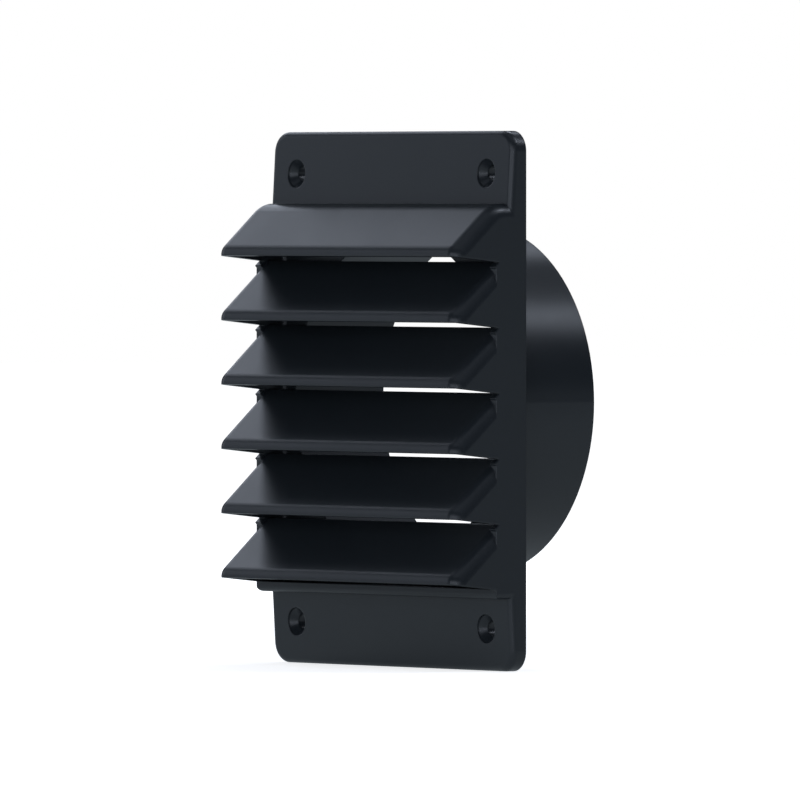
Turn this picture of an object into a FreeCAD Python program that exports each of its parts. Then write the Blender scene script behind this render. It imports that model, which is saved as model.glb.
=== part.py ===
"""Wall ventilation grille, moulded in one piece.

Two screw tabs and a square louvre box stand on the wall plane, with six fixed
sloping slats in front and a round duct spigot behind.

Frame, in millimetres: the origin lies in the wall plane at the middle of the
box, +X is to the right seen from the front, +Z is up, and +Y points into the
wall, so everything in front of the wall has a negative Y.
"""

import FreeCAD, Part
import os

import Sketcher

Vector = FreeCAD.Vector

# Driving dimensions: alias, value and meaning. Lengths in mm, angles in degrees.
SIZES = [
    ("plate_width", 110.0, "width of the box and of the screw tabs"),
    ("plate_height", 150.5, "height over both screw tabs"),
    ("plate_corner", 5.7, "radius of the tab corners, seen from the front"),
    ("plate_edge", 1.7, "rounding of the tabs' front edges"),
    ("tab_root", 5.6, "thickness of a tab where it meets the box"),
    ("tab_end", 4.4, "thickness of a tab at its outer end"),
    ("screw_hole", 4.2, "bore of the screw holes"),
    ("screw_sink", 8.0, "diameter of the countersink and of the straight mouth above it"),
    ("screw_lip", 0.45, "depth of the straight mouth above a countersink"),
    ("screw_span_across", 86.8, "screw spacing from left to right"),
    ("screw_span_up", 126.9, "screw spacing from bottom to top"),
    ("box_height", 110.0, "height of the louvre box"),
    ("box_front", 10.5, "distance of the box front from the wall"),
    ("side_wall", 2.6, "side walls and slat cheeks"),
    ("roof_wall", 2.5, "top wall of the box"),
    ("floor_wall", 2.8, "bottom wall of the box"),
    ("back_wall", 2.5, "wall that carries the spigot"),
    ("inner_round", 1.5, "rounding inside the box, around the back wall"),
    ("foot_round", 1.5, "rounding of the box's lower edges"),
    ("slat_count", 6, "number of slats"),
    ("slat_margin", 0.67, "height of the box that the row of slats leaves free"),
    ("slat_slope", 41.5, "slope of the slats below the horizontal"),
    ("slat_wall", 2.0, "thickness of the slats"),
    ("slat_clear", 1.6, "top edge of a slat below the nose of the slat above"),
    ("nose_height", 1.9, "height of the upright face at a slat's nose"),
    ("cheek_slope", 5.9, "fall of the cheeks' lower edge towards the wall"),
    ("cheek_clear", 2.04, "bare box front between a cheek and the next slat"),
    ("step_height", 0.8, "step of the side walls over the slope of a slat"),
    ("slat_round", 3.7, "rounding of the slats' noses and of their side edges"),
    ("roof_round", 8.5, "rounding between the roof and the first slat"),
    ("spigot_outer", 98.0, "outer diameter, made to slide into 100 mm duct"),
    ("spigot_wall", 1.8, "wall of the spigot"),
    ("spigot_length", 29.0, "length of the spigot behind the wall plane"),
    ("spigot_drop", 0.55, "spigot axis below the middle of the box"),
]

SINK_ANGLE = 90.0
TOLERANCE = 1e-4
PART_NAME = "grille_body"

doc = FreeCAD.newDocument("ventilation_grille")
sheet = doc.addObject("Spreadsheet::Sheet", "dims")


def fill_sheet():
    """Write each driving dimension into the sheet under its alias."""
    for row, (alias, value, meaning) in enumerate(SIZES, start=1):
        sheet.set("A%d" % row, alias)
        sheet.set("B%d" % row, str(value))
        sheet.set("C%d" % row, meaning)
        sheet.setAlias("B%d" % row, alias)
    doc.recompute()


def size(alias):
    """Present value of a driving dimension."""
    return float(sheet.get(alias))


def evaluated(expression):
    """Present value of an expression on the driving dimensions."""
    result = sheet.evalExpression(expression)
    return float(getattr(result, "Value", result))


def origin_item(body, role):
    """Origin plane or axis of a body, found by its role."""
    return next(item for item in body.Origin.OriginFeatures if item.Role == role)


def new_body(name):
    """An empty body with a label of its own."""
    body = doc.addObject("PartDesign::Body", name)
    body.Label = name
    return body


def new_sketch(body, name, role):
    """A sketch on one of the body's origin planes."""
    sketch = body.newObject("Sketcher::SketchObject", name)
    sketch.AttachmentSupport = [(origin_item(body, role), "")]
    sketch.MapMode = "FlatFace"
    return sketch


def at(sketch, corner, first, second):
    """Tie a corner, given as (line, end), to a place worked out from the sheet."""
    for kind, expression in (("DistanceX", first), ("DistanceY", second)):
        place = evaluated(expression)
        if abs(place) < TOLERANCE and expression == "0":
            axis = -2 if kind == "DistanceX" else -1
            sketch.addConstraint(Sketcher.Constraint("PointOnObject", corner[0], corner[1], axis))
            continue
        index = sketch.addConstraint(Sketcher.Constraint(kind, -1, 1, corner[0], corner[1], place))
        sketch.setExpression("Constraints[%d]" % index, expression)


def closed_outline(sketch, corners):
    """A closed outline of straight lines through corners given as expressions."""
    points = [Vector(evaluated(first), evaluated(second), 0) for first, second in corners]
    following = points[1:] + points[:1]
    start = len(sketch.Geometry)
    for here, there in zip(points, following):
        sketch.addGeometry(Part.LineSegment(here, there), False)
    count = len(points)
    for step in range(count):
        line = start + step
        following_line = start + (step + 1) % count
        sketch.addConstraint(Sketcher.Constraint("Coincident", line, 2, following_line, 1))
    for step, (first, second) in enumerate(corners):
        at(sketch, (start + step, 1), first, second)


def circle(sketch, across, up, diameter):
    """A circle whose centre and diameter are expressions."""
    centre = Vector(evaluated(across), evaluated(up), 0)
    radius = evaluated(diameter) / 2
    line = sketch.addGeometry(Part.Circle(centre, Vector(0, 0, 1), radius), False)
    at(sketch, (line, 3), across, up)
    index = sketch.addConstraint(Sketcher.Constraint("Diameter", line, radius * 2))
    sketch.setExpression("Constraints[%d]" % index, diameter)


def pad_across(body, sketch, name, length):
    """Pad a side outline evenly to the left and right."""
    pad = body.newObject("PartDesign::Pad", name)
    pad.Profile = sketch
    pad.Midplane = True
    pad.setExpression("Length", length)
    doc.recompute()
    return pad


def repeat_down(body, feature, name, count="dims.slat_count"):
    """Repeat a feature once for each slat, one pitch below the other."""
    pattern = body.newObject("PartDesign::LinearPattern", name)
    pattern.Originals = [feature]
    pattern.Direction = (origin_item(body, "Z_Axis"), [""])
    pattern.Reversed = True
    pattern.setExpression("Occurrences", count)
    pattern.setExpression("Length", PITCH + " * (" + count + " - 1)")
    body.Tip = pattern
    doc.recompute()
    return pattern


def round_edges(body, name, radius, wanted):
    """Round the edges of the body's tip that the test accepts."""
    base = body.Tip
    edges = enumerate(base.Shape.Edges, start=1)
    picked = ["Edge%d" % number for number, edge in edges if wanted(edge, base.Shape)]
    fillet = body.newObject("PartDesign::Fillet", name)
    fillet.Base = (base, picked)
    fillet.setExpression("Radius", radius)
    doc.recompute()
    return fillet


def near(first, second):
    """Whether two lengths agree."""
    return abs(first - second) < TOLERANCE


def runs_along(edge, axis):
    """Whether an edge is straight and parallel to an axis."""
    if edge.Curve.TypeId != "Part::GeomLine":
        return False
    return near(abs(edge.Curve.Direction.dot(axis)), 1.0)


def middle(edge):
    """Point halfway along an edge."""
    return edge.valueAt((edge.FirstParameter + edge.LastParameter) / 2)


def on_side(edge):
    """Whether an edge lies in the left or right outer face."""
    box = edge.BoundBox
    half = size("plate_width") / 2
    return near(abs(box.XMin), half) and near(box.XMin, box.XMax)


# Places that several outlines share, as expressions on the sheet. In a side
# outline the first coordinate is Y and the second is Z.
BOX_TOP = "dims.box_height / 2"
BOX_BOTTOM = "-dims.box_height / 2"
PLATE_TOP = "dims.plate_height / 2"
SLOPE = "tan(dims.slat_slope * 1deg)"
CHEEK_FALL = "tan(dims.cheek_slope * 1deg)"
PITCH = "((dims.box_height - dims.slat_margin) / dims.slat_count)"
CHEEK_HEIGHT = "(" + PITCH + " - dims.cheek_clear)"
NOSE_RUN = "((" + CHEEK_HEIGHT + " - dims.nose_height) / (" + SLOPE + " + " + CHEEK_FALL + "))"
REACH = "(dims.box_front + " + NOSE_RUN + ")"
NOSE_TOP = BOX_TOP + " - " + NOSE_RUN + " * " + SLOPE
NOSE_BOTTOM = NOSE_TOP + " - dims.nose_height"
CHEEK_END = NOSE_BOTTOM + " - " + NOSE_RUN + " * " + CHEEK_FALL
STEP_FOOT = "(" + BOX_TOP + " - " + PITCH + ")"
STEP_RISE = "(dims.step_height / cos(dims.slat_slope * 1deg))"
STEP_FRONT = "(dims.box_front + dims.step_height * sin(dims.slat_slope * 1deg))"
STEP_NOSE = STEP_FOOT + " + dims.step_height * cos(dims.slat_slope * 1deg)"
STEP_RUN = "((dims.cheek_clear - " + STEP_RISE + ") / (" + SLOPE + " + " + CHEEK_FALL + "))"
SLAT_UNDER = "dims.slat_wall / cos(dims.slat_slope * 1deg)"
SLAT_TOP = "(" + NOSE_BOTTOM + " + " + PITCH + " - dims.slat_clear)"
SLAT_TOP_FRONT = "(dims.box_front - (" + SLAT_TOP + " - " + BOX_TOP + ") / " + SLOPE + ")"
SLAT_REAR = "(" + SLAT_TOP_FRONT + " - " + SLAT_UNDER + " / " + SLOPE + ")"
TAB_FALL = "(dims.tab_root - dims.tab_end) / (dims.plate_height / 2 - dims.box_height / 2)"
TAB_FOOT = "dims.box_height / 2 - 2 * dims.slat_round"
TAB_FOOT_DEPTH = "dims.tab_end + (" + PLATE_TOP + " - (" + TAB_FOOT + ")) * " + TAB_FALL
SCREW_TAB = "dims.tab_end + (" + PLATE_TOP + " - dims.screw_span_up / 2) * " + TAB_FALL
SINK_PLANE = SCREW_TAB + " - dims.screw_lip"
SCREW_HIGH = "dims.screw_span_up / 2"
SCREW_RIGHT = "dims.screw_span_across / 2"
INNER_WIDTH = "dims.plate_width - 2 * dims.side_wall"
FLOOR_TOP = "dims.floor_wall - dims.box_height / 2"
INNER_HEIGHT = "dims.box_height - dims.roof_wall - dims.floor_wall"


def build_tab():
    """Upper screw tab: sloping front, rounded corners, two holes, flat back."""
    body = new_body("screw_tab")
    outline = new_sketch(body, "tab_side", "YZ_Plane")
    closed_outline(outline, [
        ("0", TAB_FOOT),
        ("0", PLATE_TOP),
        ("-dims.tab_end", PLATE_TOP),
        ("-(" + TAB_FOOT_DEPTH + ")", TAB_FOOT),
    ])
    pad_across(body, outline, "tab_plate", "dims.plate_width")

    top = size("plate_height") / 2
    round_edges(body, "tab_corners", "dims.plate_corner",
                lambda edge, shape: runs_along(edge, Vector(0, 1, 0)) and near(middle(edge).z, top))
    foot = evaluated(TAB_FOOT)
    round_edges(body, "tab_edges", "dims.plate_edge",
                lambda edge, shape: edge.BoundBox.YMax < -TOLERANCE
                and edge.BoundBox.ZMax > foot + TOLERANCE
                and not runs_along(edge, Vector(0, 1, 0)))
    add_screw_holes(body)
    return body


def add_screw_holes(body):
    """Two countersunk holes, each with a short straight mouth."""
    places = screw_circles(body, "screw_places", "dims.screw_hole")
    holes = body.newObject("PartDesign::Hole", "screw_holes")
    holes.Profile = places
    holes.DepthType = "ThroughAll"
    holes.setExpression("Diameter", "dims.screw_hole")
    holes.HoleCutType = "Countersink"
    holes.HoleCutCountersinkAngle = SINK_ANGLE
    holes.setExpression("HoleCutDiameter", "dims.screw_sink")
    doc.recompute()
    mouths = body.newObject("PartDesign::Pocket", "screw_mouths")
    mouths.Profile = screw_circles(body, "mouth_places", "dims.screw_sink")
    mouths.Type = "ThroughAll"
    mouths.Reversed = True
    doc.recompute()


def screw_circles(body, name, diameter):
    """A circle at each screw, drawn where the countersinks begin."""
    places = new_sketch(body, name, "XZ_Plane")
    places.setExpression(".AttachmentOffset.Base.z", SINK_PLANE)
    for side in ("", "-"):
        circle(places, side + SCREW_RIGHT, SCREW_HIGH, diameter)
    doc.recompute()
    return places


def build_louvre_block():
    """Box with its slats, still solid inside."""
    body = new_body("louvre_block")
    box = new_sketch(body, "box_side", "YZ_Plane")
    closed_outline(box, [
        ("0", BOX_BOTTOM),
        ("0", BOX_TOP),
        ("-dims.box_front", BOX_TOP),
        ("-dims.box_front", BOX_BOTTOM),
    ])
    pad_across(body, box, "box", "dims.plate_width")

    wedge = new_sketch(body, "slat_side", "YZ_Plane")
    closed_outline(wedge, [
        ("-dims.box_front", BOX_TOP),
        ("-" + REACH, NOSE_TOP),
        ("-" + REACH, NOSE_BOTTOM),
        ("-dims.box_front", CHEEK_END),
    ])
    slat = pad_across(body, wedge, "slat_outside", "dims.plate_width")
    repeat_down(body, slat, "slats_outside")

    across = Vector(1, 0, 0)
    reach = evaluated(REACH)
    front = size("box_front")
    half_height = size("box_height") / 2
    first_nose = evaluated(NOSE_TOP)
    pitch = evaluated(PITCH)

    def is_nose_top(edge, shape):
        if not runs_along(edge, across) or not near(middle(edge).y, -reach):
            return False
        steps = (first_nose - middle(edge).z) / pitch
        return near(steps, round(steps))

    def is_roof_front(edge, shape):
        point = middle(edge)
        return runs_along(edge, across) and near(point.y, -front) and near(point.z, half_height)

    def is_cheek_edge(edge, shape):
        if not on_side(edge) or middle(edge).y > -TOLERANCE:
            return False
        if near(middle(edge).y, -reach):
            return True
        for face in shape.ancestorsOfType(edge, Part.Face):
            normal = normal_at(face, middle(edge))
            if near(abs(normal.x), 1.0):
                continue
            return normal.z > TOLERANCE
        return False

    def is_foot(edge, shape):
        flat = near(edge.BoundBox.ZMin, -half_height) and near(edge.BoundBox.ZMax, -half_height)
        return flat and edge.BoundBox.YMin < -TOLERANCE

    def is_slat_edge(edge, shape):
        return is_nose_top(edge, shape) or is_cheek_edge(edge, shape)

    round_edges(body, "roof_rounding", "dims.roof_round", is_roof_front)
    round_edges(body, "slat_rounding", "dims.slat_round", is_slat_edge)
    round_edges(body, "foot_rounding", "dims.foot_round", is_foot)
    add_wall_steps(body)
    return body


def add_wall_steps(body):
    """Steps where the side walls come down on a slat, with a notch behind each."""
    between = "(dims.slat_count - 1)"
    step = new_sketch(body, "step_side", "YZ_Plane")
    closed_outline(step, [
        ("-dims.box_front", STEP_FOOT),
        ("-dims.box_front", STEP_FOOT + " + " + STEP_RISE),
        ("-" + STEP_FRONT, STEP_NOSE),
    ])
    lip = pad_across(body, step, "wall_step", "dims.plate_width")
    repeat_down(body, lip, "wall_steps", between)

    notch = new_sketch(body, "notch_side", "YZ_Plane")
    closed_outline(notch, [
        ("-dims.box_front", STEP_FOOT + " + " + STEP_RISE),
        ("-dims.box_front", CHEEK_END),
        (STEP_RUN + " - dims.box_front", CHEEK_END + " - " + STEP_RUN + " * " + CHEEK_FALL),
    ])
    cut = body.newObject("PartDesign::Pocket", "wall_notch")
    cut.Profile = notch
    cut.Midplane = True
    cut.Type = "ThroughAll"
    doc.recompute()
    repeat_down(body, cut, "wall_notches", between)


def normal_at(face, point):
    """Outward normal of a face near a point."""
    along, across = face.Surface.parameter(point)
    return face.normalAt(along, across)


def build_spigot():
    """Round tube behind the wall plane."""
    body = new_body("duct_spigot")
    ring = new_sketch(body, "spigot_ring", "XZ_Plane")
    for diameter in ("dims.spigot_outer", "dims.spigot_outer - 2 * dims.spigot_wall"):
        circle(ring, "0", "-dims.spigot_drop", diameter)
    tube = body.newObject("PartDesign::Pad", "tube")
    tube.Profile = ring
    tube.setExpression("Length", "dims.spigot_length")
    tube.Reversed = True
    doc.recompute()
    return body


def build_airway():
    """Everything the air passes through, as one tool that is cut away."""
    gaps = build_gaps()
    front = doc.addObject("Part::Box", "inside_front")
    front.setExpression("Length", INNER_WIDTH)
    front.setExpression("Width", REACH + " - dims.back_wall")
    front.setExpression("Height", INNER_HEIGHT)
    front.setExpression(".Placement.Base.x", "-(" + INNER_WIDTH + ") / 2")
    front.setExpression(".Placement.Base.y", "-" + REACH)
    front.setExpression(".Placement.Base.z", FLOOR_TOP)
    clipped = doc.addObject("Part::Common", "gaps_inside")
    clipped.Base = gaps
    clipped.Tool = front
    chamber = build_chamber()

    bore = doc.addObject("Part::Cylinder", "bore")
    bore.setExpression("Radius", "dims.spigot_outer / 2 - dims.spigot_wall")
    bore.setExpression("Height", SLAT_REAR + " + dims.spigot_length")
    bore.Placement.Rotation = FreeCAD.Rotation(Vector(1, 0, 0), -90)
    bore.setExpression(".Placement.Base.y", "-" + SLAT_REAR)
    bore.setExpression(".Placement.Base.z", "-dims.spigot_drop")

    airway = doc.addObject("Part::MultiFuse", "airway")
    airway.Shapes = [clipped, chamber, bore]
    doc.recompute()
    return airway


def build_gaps():
    """Sloping gaps under the slats, the lowest one open down to the floor."""
    body = new_body("slat_gaps")
    nose_back = "(" + REACH + " - dims.slat_wall)"
    drop_to_nose = " - (" + nose_back + " - dims.box_front) * " + SLOPE
    gap = new_sketch(body, "gap_side", "YZ_Plane")
    closed_outline(gap, [
        ("-" + nose_back, BOX_TOP + drop_to_nose + " - " + SLAT_UNDER),
        ("-" + SLAT_REAR, SLAT_TOP),
        ("-" + SLAT_REAR, SLAT_TOP + " - " + PITCH),
        ("-" + SLAT_TOP_FRONT, SLAT_TOP + " - " + PITCH),
        ("-" + nose_back, BOX_TOP + drop_to_nose + " - " + PITCH),
    ])
    slot = pad_across(body, gap, "gap", INNER_WIDTH)
    repeat_down(body, slot, "gaps")

    lowest = new_sketch(body, "lowest_gap_side", "YZ_Plane")
    to_last = " - " + PITCH + " * (dims.slat_count - 1)"
    closed_outline(lowest, [
        ("-" + nose_back, BOX_TOP + drop_to_nose + " - " + SLAT_UNDER + to_last),
        ("-" + SLAT_REAR, SLAT_TOP + to_last),
        ("-" + SLAT_REAR, BOX_BOTTOM),
        ("-" + nose_back, BOX_BOTTOM),
    ])
    pad_across(body, lowest, "lowest_gap", INNER_WIDTH)
    return body


def build_chamber():
    """Space between the slats and the back wall, rounded along that wall."""
    body = new_body("chamber")
    opening = new_sketch(body, "chamber_opening", "XZ_Plane")
    opening.setExpression(".AttachmentOffset.Base.z", "dims.back_wall")
    left = "-(" + INNER_WIDTH + ") / 2"
    right = "(" + INNER_WIDTH + ") / 2"
    ceiling = BOX_TOP + " - dims.roof_wall"
    closed_outline(opening, [
        (left, FLOOR_TOP),
        (right, FLOOR_TOP),
        (right, ceiling),
        (left, ceiling),
    ])
    space = body.newObject("PartDesign::Pad", "space")
    space.Profile = opening
    space.setExpression("Length", SLAT_REAR + " - dims.back_wall")
    doc.recompute()
    wall = size("back_wall")
    round_edges(body, "chamber_rounding", "dims.inner_round",
                lambda edge, shape: near(edge.BoundBox.YMin, -wall) and near(edge.BoundBox.YMax, -wall))
    return body


def build_grille():
    """Join the solid pieces of the moulding and cut the airway through them."""
    upper_tab = build_tab()
    lower_tab = doc.addObject("Part::Mirroring", "lower_tab")
    lower_tab.Source = upper_tab
    lower_tab.Normal = Vector(0, 0, 1)
    block = build_louvre_block()
    spigot = build_spigot()
    airway = build_airway()

    outside = doc.addObject("Part::MultiFuse", "outside")
    outside.Shapes = [block, upper_tab, lower_tab, spigot]
    outside.Refine = True
    doc.recompute()

    grille = doc.addObject("Part::Cut", PART_NAME)
    grille.Base = outside
    grille.Tool = airway
    grille.Refine = True
    grille.Label = PART_NAME
    doc.recompute()
    return grille


def check_document():
    """Stop when a feature failed or a shape is missing or not valid."""
    for item in doc.Objects:
        if "Invalid" in item.State or "Error" in item.State:
            raise RuntimeError("%s has state %s" % (item.Name, item.State))
        if not item.isDerivedFrom("Part::Feature"):
            continue
        if item.Shape.isNull():
            raise RuntimeError("%s has no shape" % item.Name)
        if not item.Shape.isValid():
            raise RuntimeError("%s has a shape that is not valid" % item.Name)


def write_part(grille):
    """Write the finished solid to its file."""
    solids = grille.Shape.Solids
    if len(solids) != 1:
        raise RuntimeError("the grille is %d solids instead of one" % len(solids))
    os.makedirs("parts", exist_ok=True)
    solids[0].exportStep("parts/%s.step" % grille.Label)


fill_sheet()
grille = build_grille()
check_document()
write_part(grille)
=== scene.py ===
"""Look of the wall ventilation grille: moulded plastic finish, studio and camera.

The grille is one moulding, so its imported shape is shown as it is. This script
gives it the finish of dark semi-matt plastic and sets up the studio round it.
"""

import math

import bmesh
import bpy
from bpy.props import FloatProperty, FloatVectorProperty, PointerProperty
from mathutils import Matrix, Vector


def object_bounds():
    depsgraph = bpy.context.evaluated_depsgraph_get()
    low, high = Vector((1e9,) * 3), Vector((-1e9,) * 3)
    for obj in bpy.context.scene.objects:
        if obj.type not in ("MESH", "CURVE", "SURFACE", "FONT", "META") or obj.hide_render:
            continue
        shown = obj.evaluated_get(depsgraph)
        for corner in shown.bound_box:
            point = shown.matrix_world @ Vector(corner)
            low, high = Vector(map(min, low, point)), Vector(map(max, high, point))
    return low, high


bl_info = {
    "name": "Ventilation grille look",
    "version": (1, 0, 0),
    "blender": (4, 5, 0),
    "location": "3D View > Sidebar > Grille",
    "description": "Finishes a moulded ventilation grille and sets up its studio",
    "category": "Object",
}

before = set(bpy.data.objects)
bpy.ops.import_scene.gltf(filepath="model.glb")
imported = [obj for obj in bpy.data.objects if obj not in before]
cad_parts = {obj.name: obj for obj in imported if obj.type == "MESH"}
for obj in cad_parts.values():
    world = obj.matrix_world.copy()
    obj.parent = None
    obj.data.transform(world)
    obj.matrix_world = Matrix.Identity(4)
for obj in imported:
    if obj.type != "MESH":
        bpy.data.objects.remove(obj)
CAD_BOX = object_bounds()
MOULDING = "grille_body"

# The plastic. Paler patches and rougher spots are counted along a metre. A noise
# changes most between its low and high mark, and that part of it is used. The
# renderer's noise filter leaves mottled patches where the roughness is below 0.27.
PLASTIC_IOR = 1.5
PATCHES_PER_METRE = 14.0
SPOTS_PER_METRE = 55.0
NOISE_LOW = 0.3
NOISE_HIGH = 0.7
SMOOTHER_BY = 0.02
ROUGHER_BY = 0.03
EDGE_SAMPLES = 8

# The studio, in metres. Only the sensor's width is in millimetres.
WHITE = (1.0, 1.0, 1.0, 1.0)
FLOOR_COLOUR = (0.9, 0.9, 0.9, 1.0)
FLOOR_WIDTH = 12.0
LAMP_TARGET = (0.0, 0.0, 0.0)
LAMP_DISTANCE = 1.6
SENSOR_WIDTH = 36.0
CLIP_NEAR = 0.1
CLIP_FAR = 50.0

# Soft lamps round the grille: name, turn from its front towards its right and
# rise above its middle in degrees, width and height of the panel in metres, and
# brightness.
LAMPS = (
    ("front_panel", 12.0, 8.0, 2.15, 0.80, 1.10),
    ("front_right_panel", 62.0, 9.0, 0.70, 0.80, 0.35),
    ("front_left_card", -52.0, 3.0, 0.80, 0.80, 0.215),
    ("left_front_panel", -70.0, 16.0, 0.80, 0.70, 0.62),
    ("left_panel", -93.0, 33.0, 0.70, 0.42, 1.17),
    ("left_rear_panel", -112.0, 26.0, 0.50, 0.40, 1.85),
    ("left_high_panel", -131.0, 51.0, 0.50, 0.40, 4.30),
    ("left_top_panel", -83.0, 52.0, 0.50, 0.30, 0.72),
    ("rear_left_panel", -151.0, 43.0, 0.35, 0.35, 1.30),
    ("spigot_panel", 146.5, 39.0, 0.30, 0.30, 3.50),
    ("rear_strip", 172.0, 50.0, 0.70, 0.30, 0.30),
    ("right_rear_panel", 118.0, 62.0, 0.60, 0.60, 1.10),
    ("right_high_panel", 62.0, 62.0, 0.60, 0.50, 0.15),
    ("overhead_panel", 0.0, 68.0, 1.00, 0.80, 0.25),
    ("right_rear_card", 128.0, 2.0, 0.90, 0.20, 0.10),
    ("roof_end_panel", 133.0, 50.0, 0.28, 0.26, 10.0),
    ("right_low_card", 46.0, 0.5, 0.42, 0.18, 2.60),
)


class GrilleFinish(bpy.types.PropertyGroup):
    """Colours and surface of the moulded plastic."""

    plastic: FloatVectorProperty(
        name="Plastic",
        description="Colour of the moulded plastic",
        subtype="COLOR", size=3, min=0.0, max=1.0, default=(0.0185, 0.0230, 0.0268))
    plastic_light: FloatVectorProperty(
        name="Lighter plastic",
        description="Colour where the plastic has cooled paler",
        subtype="COLOR", size=3, min=0.0, max=1.0, default=(0.0205, 0.0250, 0.0290))
    roughness: FloatProperty(
        name="Roughness",
        description="Roughness of the smooth moulded faces",
        subtype="FACTOR", min=0.0, max=1.0, default=0.30)
    grain_size: FloatProperty(
        name="Grain size",
        description="Width of one grain of the tool's fine texture",
        subtype="DISTANCE", unit="LENGTH", min=0.00005, max=0.01, default=0.0006)
    grain_depth: FloatProperty(
        name="Grain depth",
        description="Depth of the tool's fine texture",
        subtype="DISTANCE", unit="LENGTH", min=0.0, max=0.001, default=0.000001)
    edge_softness: FloatProperty(
        name="Edge softness",
        description="Radius over which the light runs round an edge",
        subtype="DISTANCE", unit="LENGTH", min=0.0, max=0.002, default=0.0005)


class GrilleStudio(bpy.types.PropertyGroup):
    """Camera, light and floor of the studio."""

    azimuth: FloatProperty(
        name="Camera azimuth",
        description="How far the camera stands to the right of the front",
        subtype="ANGLE", unit="ROTATION", default=math.radians(52.12))
    elevation: FloatProperty(
        name="Camera elevation",
        description="How far the camera looks down",
        subtype="ANGLE", unit="ROTATION", default=math.radians(0.811))
    distance: FloatProperty(
        name="Camera distance",
        description="From the camera to the grille",
        subtype="DISTANCE", unit="LENGTH", min=0.1, default=3.9538)
    shift_right: FloatProperty(
        name="Camera to the right",
        description="Sideways offset of the camera",
        subtype="DISTANCE", unit="LENGTH", default=-0.0013435)
    shift_up: FloatProperty(
        name="Camera upwards",
        description="Height offset of the camera",
        subtype="DISTANCE", unit="LENGTH", default=-0.000243)
    lens: FloatProperty(
        name="Lens",
        description="Focal length of the camera on a 36 mm sensor",
        unit="CAMERA", min=1.0, default=632.7)
    lamp_level: FloatProperty(
        name="Lamp level",
        description="Brightness of all the lamps together",
        min=0.0, max=10.0, default=1.16)
    lamp_tint: FloatVectorProperty(
        name="Lamp colour",
        description="Colour of the daylight lamps",
        subtype="COLOR", size=3, min=0.0, max=1.0, default=(0.79, 0.86, 1.0))
    room_level: FloatProperty(
        name="Room light",
        description="Strength of the even light of the room",
        min=0.0, max=2.0, default=0.14)
    gloss_level: FloatProperty(
        name="Background in gloss",
        description="How bright the background shows in gloss",
        min=0.0, max=1.0, default=0.02)
    floor_gloss: FloatProperty(
        name="Floor in gloss",
        description="How bright the pale floor shows in gloss",
        min=0.0, max=1.0, default=0.43)
    shaded_gloss: FloatProperty(
        name="Shaded floor in gloss",
        description="How bright the floor under the grille shows in gloss",
        min=0.0, max=1.0, default=0.29)
    shade_near: FloatProperty(
        name="Shaded within",
        description="Distance from the grille's middle up to which the floor is shaded",
        subtype="DISTANCE", unit="LENGTH", min=0.0, default=0.075)
    shade_far: FloatProperty(
        name="Unshaded from",
        description="Distance from the grille's middle where the shade ends",
        subtype="DISTANCE", unit="LENGTH", min=0.01, default=0.095)
    floor_tint: FloatVectorProperty(
        name="Floor colour in gloss",
        description="Colour of the daylit floor in gloss",
        subtype="COLOR", size=3, min=0.0, max=1.0, default=(0.80, 0.91, 1.0))
    floor_glow: FloatProperty(
        name="Floor white",
        description="Share of white that the floor near the grille shows by itself",
        min=0.0, max=1.0, default=0.75)
    floor_near: FloatProperty(
        name="Shadow reach",
        description="How far from the grille the floor starts to turn all white",
        subtype="DISTANCE", unit="LENGTH", min=0.05, default=0.25)
    floor_far: FloatProperty(
        name="White from",
        description="How far from the grille the floor is all white",
        subtype="DISTANCE", unit="LENGTH", min=0.1, default=0.7)


def add_node(tree, kind, place, **values):
    """A node at a place in the editor, with its inputs set by name."""
    node = tree.nodes.new(kind)
    node.location = place
    for name, value in values.items():
        node.inputs[name.replace("_", " ")].default_value = value
    return node


def noise(tree, place, coordinates, scale, detail, roughness):
    """A noise on the object's own coordinates, in metres."""
    node = add_node(tree, "ShaderNodeTexNoise", place,
                    Scale=scale, Detail=detail, Roughness=roughness)
    tree.links.new(coordinates, node.inputs["Vector"])
    return node.outputs["Fac"]


def map_range(tree, place, value, from_low, from_high, to_low, to_high):
    """A value moved from one range into another, smoothly and clamped."""
    node = add_node(tree, "ShaderNodeMapRange", place,
                    From_Min=from_low, From_Max=from_high, To_Min=to_low, To_Max=to_high)
    node.interpolation_type = "SMOOTHSTEP"
    tree.links.new(value, node.inputs["Value"])
    return node.outputs["Result"]


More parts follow.
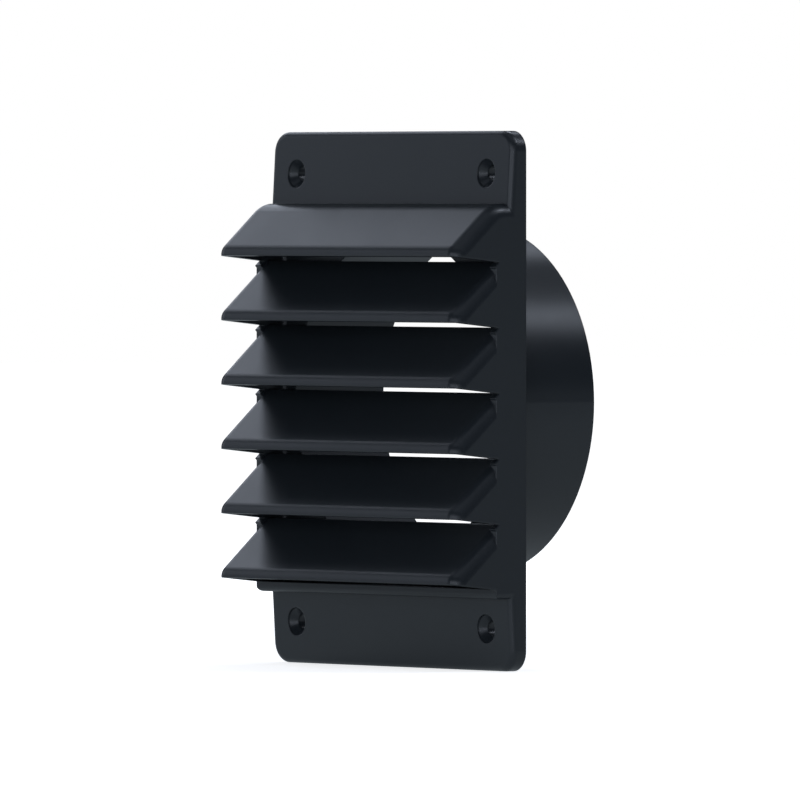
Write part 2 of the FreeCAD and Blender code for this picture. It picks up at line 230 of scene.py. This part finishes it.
def moulded_plastic(name, finish):
    """Dark semi-matt plastic with paler patches, a fine grain and soft edges."""
    material = bpy.data.materials.new(name)
    material.use_nodes = True
    tree = material.node_tree
    tree.nodes.clear()
    output = add_node(tree, "ShaderNodeOutputMaterial", (900, 0))
    shader = add_node(tree, "ShaderNodeBsdfPrincipled", (600, 0), IOR=PLASTIC_IOR)
    tree.links.new(shader.outputs["BSDF"], output.inputs["Surface"])
    place = add_node(tree, "ShaderNodeTexCoord", (-900, 0)).outputs["Object"]

    patches = noise(tree, (-600, 300), place, PATCHES_PER_METRE, detail=3.0, roughness=0.5)
    paler = map_range(tree, (-200, 300), patches, NOISE_LOW, NOISE_HIGH, 0.0, 1.0)
    colour = tree.nodes.new("ShaderNodeMix")
    colour.location = (200, 300)
    colour.data_type = "RGBA"
    colour.inputs["A"].default_value = (*finish.plastic, 1.0)
    colour.inputs["B"].default_value = (*finish.plastic_light, 1.0)
    tree.links.new(paler, colour.inputs["Factor"])
    tree.links.new(colour.outputs["Result"], shader.inputs["Base Color"])

    spots = noise(tree, (-600, 0), place, SPOTS_PER_METRE, detail=4.0, roughness=0.6)
    smoothest = finish.roughness - SMOOTHER_BY
    roughest = finish.roughness + ROUGHER_BY
    rougher = map_range(tree, (-200, 0), spots, NOISE_LOW, NOISE_HIGH, smoothest, roughest)
    tree.links.new(rougher, shader.inputs["Roughness"])

    grain = noise(tree, (-600, -300), place, 1.0 / finish.grain_size, detail=2.0, roughness=0.5)
    bump = add_node(tree, "ShaderNodeBump", (200, -300), Strength=1.0, Distance=finish.grain_depth)
    tree.links.new(grain, bump.inputs["Height"])
    soft = add_node(tree, "ShaderNodeBevel", (-200, -500), Radius=finish.edge_softness)
    soft.samples = EDGE_SAMPLES
    tree.links.new(soft.outputs["Normal"], bump.inputs["Normal"])
    tree.links.new(bump.outputs["Normal"], shader.inputs["Normal"])
    return material


class GRILLE_OT_finish_moulding(bpy.types.Operator):
    """Give the moulding its dark plastic finish"""

    bl_idname = "grille.finish_moulding"
    bl_label = "Finish the moulding"

    def execute(self, context):
        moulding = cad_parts[MOULDING]
        plastic = moulded_plastic("anthracite_plastic", context.scene.grille_finish)
        moulding.data.materials.clear()
        moulding.data.materials.append(plastic)
        return {"FINISHED"}


def area_light(name, place, width, height, power, tint):
    """A rectangular soft light at a place, aimed at the grille's middle."""
    data = bpy.data.lights.new(name, "AREA")
    data.shape = "RECTANGLE"
    data.size = width
    data.size_y = height
    data.energy = power
    data.color = tint
    lamp = bpy.data.objects.new(name, data)
    lamp.location = place
    lamp.rotation_euler = (Vector(LAMP_TARGET) - place).to_track_quat("-Z", "Y").to_euler()
    bpy.context.collection.objects.link(lamp)


class GRILLE_OT_studio_stage(bpy.types.Operator):
    """Set up the floor, the lights and the camera"""

    bl_idname = "grille.studio_stage"
    bl_label = "Set up the studio"

    def execute(self, context):
        studio = context.scene.grille_studio
        self.make_world(context.scene, studio)
        self.make_floor(studio)
        self.make_lights(studio)
        self.make_camera(context.scene, studio)
        context.scene.view_settings.view_transform = "Standard"
        return {"FINISHED"}

    def make_world(self, scene, studio):
        """Even room light, and a white background behind the grille."""
        world = bpy.data.worlds.new("studio_room")
        scene.world = world
        world.use_nodes = True
        tree = world.node_tree
        tree.nodes.clear()
        tint = (*studio.lamp_tint, 1.0)
        output = add_node(tree, "ShaderNodeOutputWorld", (900, 0))
        path = add_node(tree, "ShaderNodeLightPath", (-600, 300))
        room = add_node(tree, "ShaderNodeBackground", (-300, 100),
                        Color=tint, Strength=studio.room_level)
        gloss = add_node(tree, "ShaderNodeBackground", (-300, -50),
                         Color=tint, Strength=studio.gloss_level)
        white = add_node(tree, "ShaderNodeBackground", (-300, -200), Color=WHITE, Strength=1.0)
        seen = self.first_sight(tree, path, (-300, 400))
        with_gloss = self.mixed(tree, (300, 100), path.outputs["Is Glossy Ray"], room, gloss)
        everything = self.mixed(tree, (600, 0), seen, with_gloss, white)
        tree.links.new(everything.outputs[0], output.inputs["Surface"])

    def first_sight(self, tree, path, place):
        """One for rays from the camera and through clear things, else zero."""
        either = tree.nodes.new("ShaderNodeMath")
        either.location = place
        either.operation = "MAXIMUM"
        tree.links.new(path.outputs["Is Camera Ray"], either.inputs[0])
        tree.links.new(path.outputs["Is Transmission Ray"], either.inputs[1])
        return either.outputs[0]

    def mixed(self, tree, place, factor, first, second):
        """Two shaders mixed by a factor."""
        mix = add_node(tree, "ShaderNodeMixShader", place)
        tree.links.new(factor, mix.inputs[0])
        tree.links.new(first.outputs[0], mix.inputs[1])
        tree.links.new(second.outputs[0], mix.inputs[2])
        return mix

    def make_floor(self, studio):
        """Plain pale floor under the grille's lower edge, which keeps its shadow."""
        mesh = bpy.data.meshes.new("studio_floor")
        shape = bmesh.new()
        lower_edge = Matrix.Translation((0.0, 0.0, CAD_BOX[0].z))
        bmesh.ops.create_grid(shape, x_segments=1, y_segments=1,
                              size=FLOOR_WIDTH / 2, matrix=lower_edge)
        shape.to_mesh(mesh)
        shape.free()
        floor = bpy.data.objects.new("studio_floor", mesh)
        bpy.context.collection.objects.link(floor)
        mesh.materials.append(self.pale_floor(studio))

    def pale_floor(self, studio):
        """Matt white that shows white to the camera where no shadow falls."""
        material = bpy.data.materials.new("pale_floor")
        material.use_nodes = True
        tree = material.node_tree
        tree.nodes.clear()
        output = add_node(tree, "ShaderNodeOutputMaterial", (900, 0))
        path = add_node(tree, "ShaderNodeLightPath", (-300, 500))
        matt = add_node(tree, "ShaderNodeBsdfDiffuse", (-300, 100), Color=FLOOR_COLOUR)
        gloss = add_node(tree, "ShaderNodeEmission", (-300, 250), Color=(*studio.floor_tint, 1.0))
        self.by_distance(tree, gloss, studio.shade_near, studio.shade_far,
                         studio.shaded_gloss, studio.floor_gloss)
        glow = add_node(tree, "ShaderNodeEmission", (-300, -100))
        self.by_distance(tree, glow, studio.floor_near, studio.floor_far, studio.floor_glow, 1.0)
        bright = tree.nodes.new("ShaderNodeAddShader")
        bright.location = (0, -50)
        tree.links.new(matt.outputs[0], bright.inputs[0])
        tree.links.new(glow.outputs[0], bright.inputs[1])
        seen = self.first_sight(tree, path, (0, 500))
        with_gloss = self.mixed(tree, (300, 150), path.outputs["Is Glossy Ray"], matt, gloss)
        everything = self.mixed(tree, (600, 0), seen, with_gloss, bright)
        tree.links.new(everything.outputs[0], output.inputs["Surface"])
        return material

    def by_distance(self, tree, glow, near, far, strength_near, strength_far):
        """Let a glow's strength change with the distance from the grille's middle."""
        row = glow.location.y
        place = add_node(tree, "ShaderNodeTexCoord", (-1200, row)).outputs["Object"]
        distance = tree.nodes.new("ShaderNodeVectorMath")
        distance.location = (-900, row)
        distance.operation = "LENGTH"
        tree.links.new(place, distance.inputs[0])
        strength = map_range(tree, (-600, row), distance.outputs["Value"], near, far,
                             strength_near, strength_far)
        tree.links.new(strength, glow.inputs["Strength"])

    def make_lights(self, studio):
        """Soft panels round the grille, with power by their area and brightness."""
        for name, turn, rise, width, height, brightness in LAMPS:
            across, up = math.radians(turn), math.radians(rise)
            direction = Vector((math.sin(across) * math.cos(up),
                                -math.cos(across) * math.cos(up),
                                math.sin(up)))
            power = math.pi * width * height * brightness * studio.lamp_level
            area_light(name, direction * LAMP_DISTANCE, width, height, power, studio.lamp_tint)

    def make_camera(self, scene, studio):
        """Camera at the photograph's place, nearly level with the grille."""
        azimuth, elevation = studio.azimuth, studio.elevation
        right = Vector((math.cos(azimuth), math.sin(azimuth), 0.0))
        forward = Vector((-math.sin(azimuth) * math.cos(elevation),
                          math.cos(azimuth) * math.cos(elevation),
                          -math.sin(elevation)))
        up = right.cross(forward)
        data = bpy.data.cameras.new("product_camera")
        data.sensor_width = SENSOR_WIDTH
        data.lens = studio.lens
        data.clip_start = CLIP_NEAR
        data.clip_end = CLIP_FAR
        camera = bpy.data.objects.new("product_camera", data)
        offset = right * studio.shift_right + up * studio.shift_up
        camera.location = offset - forward * studio.distance
        camera.rotation_euler = forward.to_track_quat("-Z", "Y").to_euler()
        scene.collection.objects.link(camera)
        scene.camera = camera


class GRILLE_PT_look(bpy.types.Panel):
    """Sizes, colours and steps of the grille's look."""

    bl_idname = "GRILLE_PT_look"
    bl_label = "Ventilation grille"
    bl_space_type = "VIEW_3D"
    bl_region_type = "UI"
    bl_category = "Grille"

    def draw(self, context):
        layout = self.layout
        for group in (context.scene.grille_finish, context.scene.grille_studio):
            for name in group.__annotations__:
                layout.prop(group, name)
        for operator in (GRILLE_OT_finish_moulding, GRILLE_OT_studio_stage):
            layout.operator(operator.bl_idname)


CLASSES = (
    GrilleFinish,
    GrilleStudio,
    GRILLE_OT_finish_moulding,
    GRILLE_OT_studio_stage,
    GRILLE_PT_look,
)


def register():
    """Make the settings, operators and panel known."""
    for item in CLASSES:
        bpy.utils.register_class(item)
    bpy.types.Scene.grille_finish = PointerProperty(type=GrilleFinish)
    bpy.types.Scene.grille_studio = PointerProperty(type=GrilleStudio)


def unregister():
    """Take the settings, operators and panel away again."""
    del bpy.types.Scene.grille_studio
    del bpy.types.Scene.grille_finish
    for item in reversed(CLASSES):
        bpy.utils.unregister_class(item)


def main():
    """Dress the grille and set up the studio."""
    register()
    bpy.ops.grille.finish_moulding()
    bpy.ops.grille.studio_stage()


if __name__ == "__main__":
    main()
